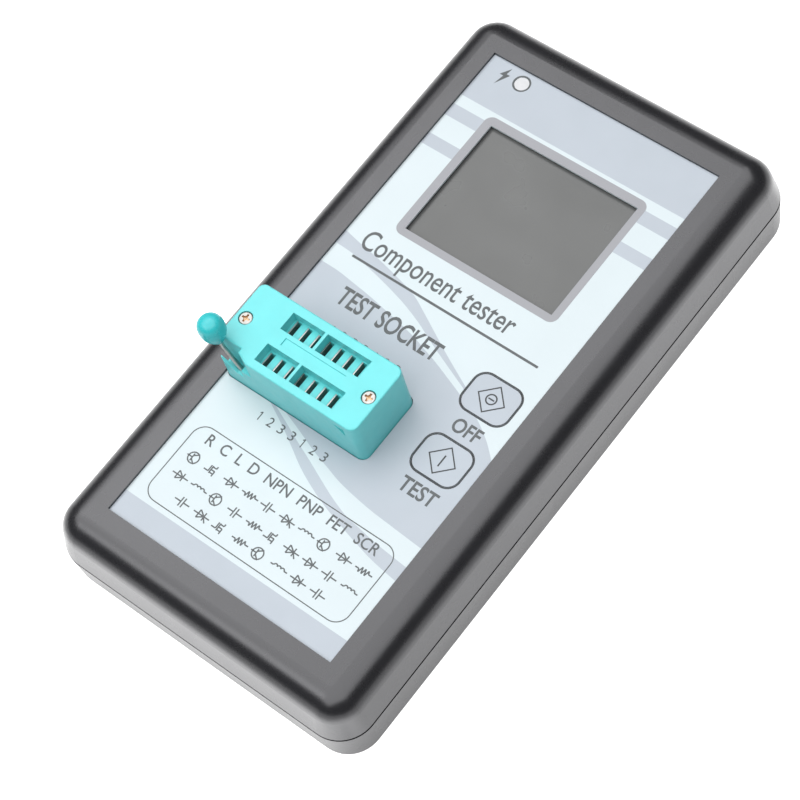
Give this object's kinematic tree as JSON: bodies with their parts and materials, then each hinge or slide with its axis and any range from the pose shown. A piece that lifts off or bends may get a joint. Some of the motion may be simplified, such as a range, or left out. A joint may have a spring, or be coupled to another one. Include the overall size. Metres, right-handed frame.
{
  "type": "component tester",
  "caption": "Hand-held electronic component tester: flat two-shell case with printed overlay, colour display, two keys, charging lamp and lever-operated test socket.",
  "frame": {"origin": "centre of the back face, which the tester lies on", "axes": "+X to the right across the panel, +Y along the case towards the display end, +Z out of the panel"},
  "size_m": [0.0716, 0.1354, 0.0372],
  "materials": {
    "case_plastic": "fine satin texture",
    "overlay_print": "printed polyester film, satin",
    "lamp_window": "frosted",
    "display_glass": "polarised panel, switched off",
    "white_plastic": "moulded",
    "flex_circuit": "polyimide",
    "component_black": "moulded epoxy",
    "plated_steel": "tin plated",
    "screw_steel": "zinc plated",
    "board_laminate": "solder mask",
    "capacitor_ceramic": "fired",
    "ceramic_white": "fired",
    "can_aluminium": "drawn can",
    "cell_foil": "laminate pouch",
    "foam": "foam",
    "lead_red": "insulation",
    "lead_black": "insulation",
    "socket_plastic": "moulded, satin",
    "contact_metal": "plated spring bronze",
    "plated_brass": "plated head",
    "lever_steel": "drawn wire"
  },
  "bodies": {
    "case": {"battery_cell": "cell_foil", "battery_lead_black": "lead_black", "battery_lead_red": "lead_red", "battery_pad": "foam", "battery_plug": "white_plastic", "battery_socket": "white_plastic", "board_screws": "screw_steel", "boost_inductor": "component_black", "case_screws": "screw_steel", "charge_led": "ceramic_white", "charger_chip": "component_black", "chip_capacitors": "capacitor_ceramic", "chip_resistors": "component_black", "crystal": "plated_steel", "display_backlight": "white_plastic", "display_glass": "display_glass", "display_ribbon": "flex_circuit", "filter_capacitors": "can_aluminium", "front_shell": "case_plastic", "light_pipe": "lamp_window", "main_board": "board_laminate", "mcu_chip": "component_black", "overlay_film": "overlay_print", "rear_shell": "case_plastic", "switch_frames": "plated_steel", "switch_off_body": "component_black", "switch_test_body": "component_black", "switching_transistors": "component_black", "usb_shell": "plated_steel", "usb_tongue": "component_black", "zif_base": "socket_plastic", "zif_contact_stems": "contact_metal", "zif_cover": "socket_plastic", "zif_screws": "plated_brass"},
    "test_socket_lever": {"zif_lever": "lever_steel", "zif_knob": "socket_plastic"},
    "test_socket_slider": {"zif_slider": "socket_plastic", "zif_contact_leaves": "contact_metal"},
    "off_key": {"key_off": "overlay_print", "switch_off_plunger": "component_black"},
    "test_key": {"key_test": "overlay_print", "switch_test_plunger": "component_black"}
  },
  "joints": [
    {"name": "socket_lever_hinge", "type": "hinge", "parent": "case", "child": "test_socket_lever", "pos_m": [-0.0213, -0.01717, 0.0215], "axis": [0, 1, 0], "range_deg": [-55, 19]},
    {"name": "socket_slide", "type": "slide", "parent": "case", "child": "test_socket_slider", "axis": [1, 0, 0], "range_m": [-0.000216, 0.000625]},
    {"name": "off_key_press", "type": "slide", "parent": "case", "child": "off_key", "axis": [0, 0, -1], "range_m": [0, 0.0003], "stiffness_N_per_m": 800},
    {"name": "test_key_press", "type": "slide", "parent": "case", "child": "test_key", "axis": [0, 0, -1], "range_m": [0, 0.0003], "stiffness_N_per_m": 800}
  ],
  "couplings": [
    {"joint": "socket_lever_hinge", "follows": "socket_slide", "rad_per_m": -1533.7}
  ]
}
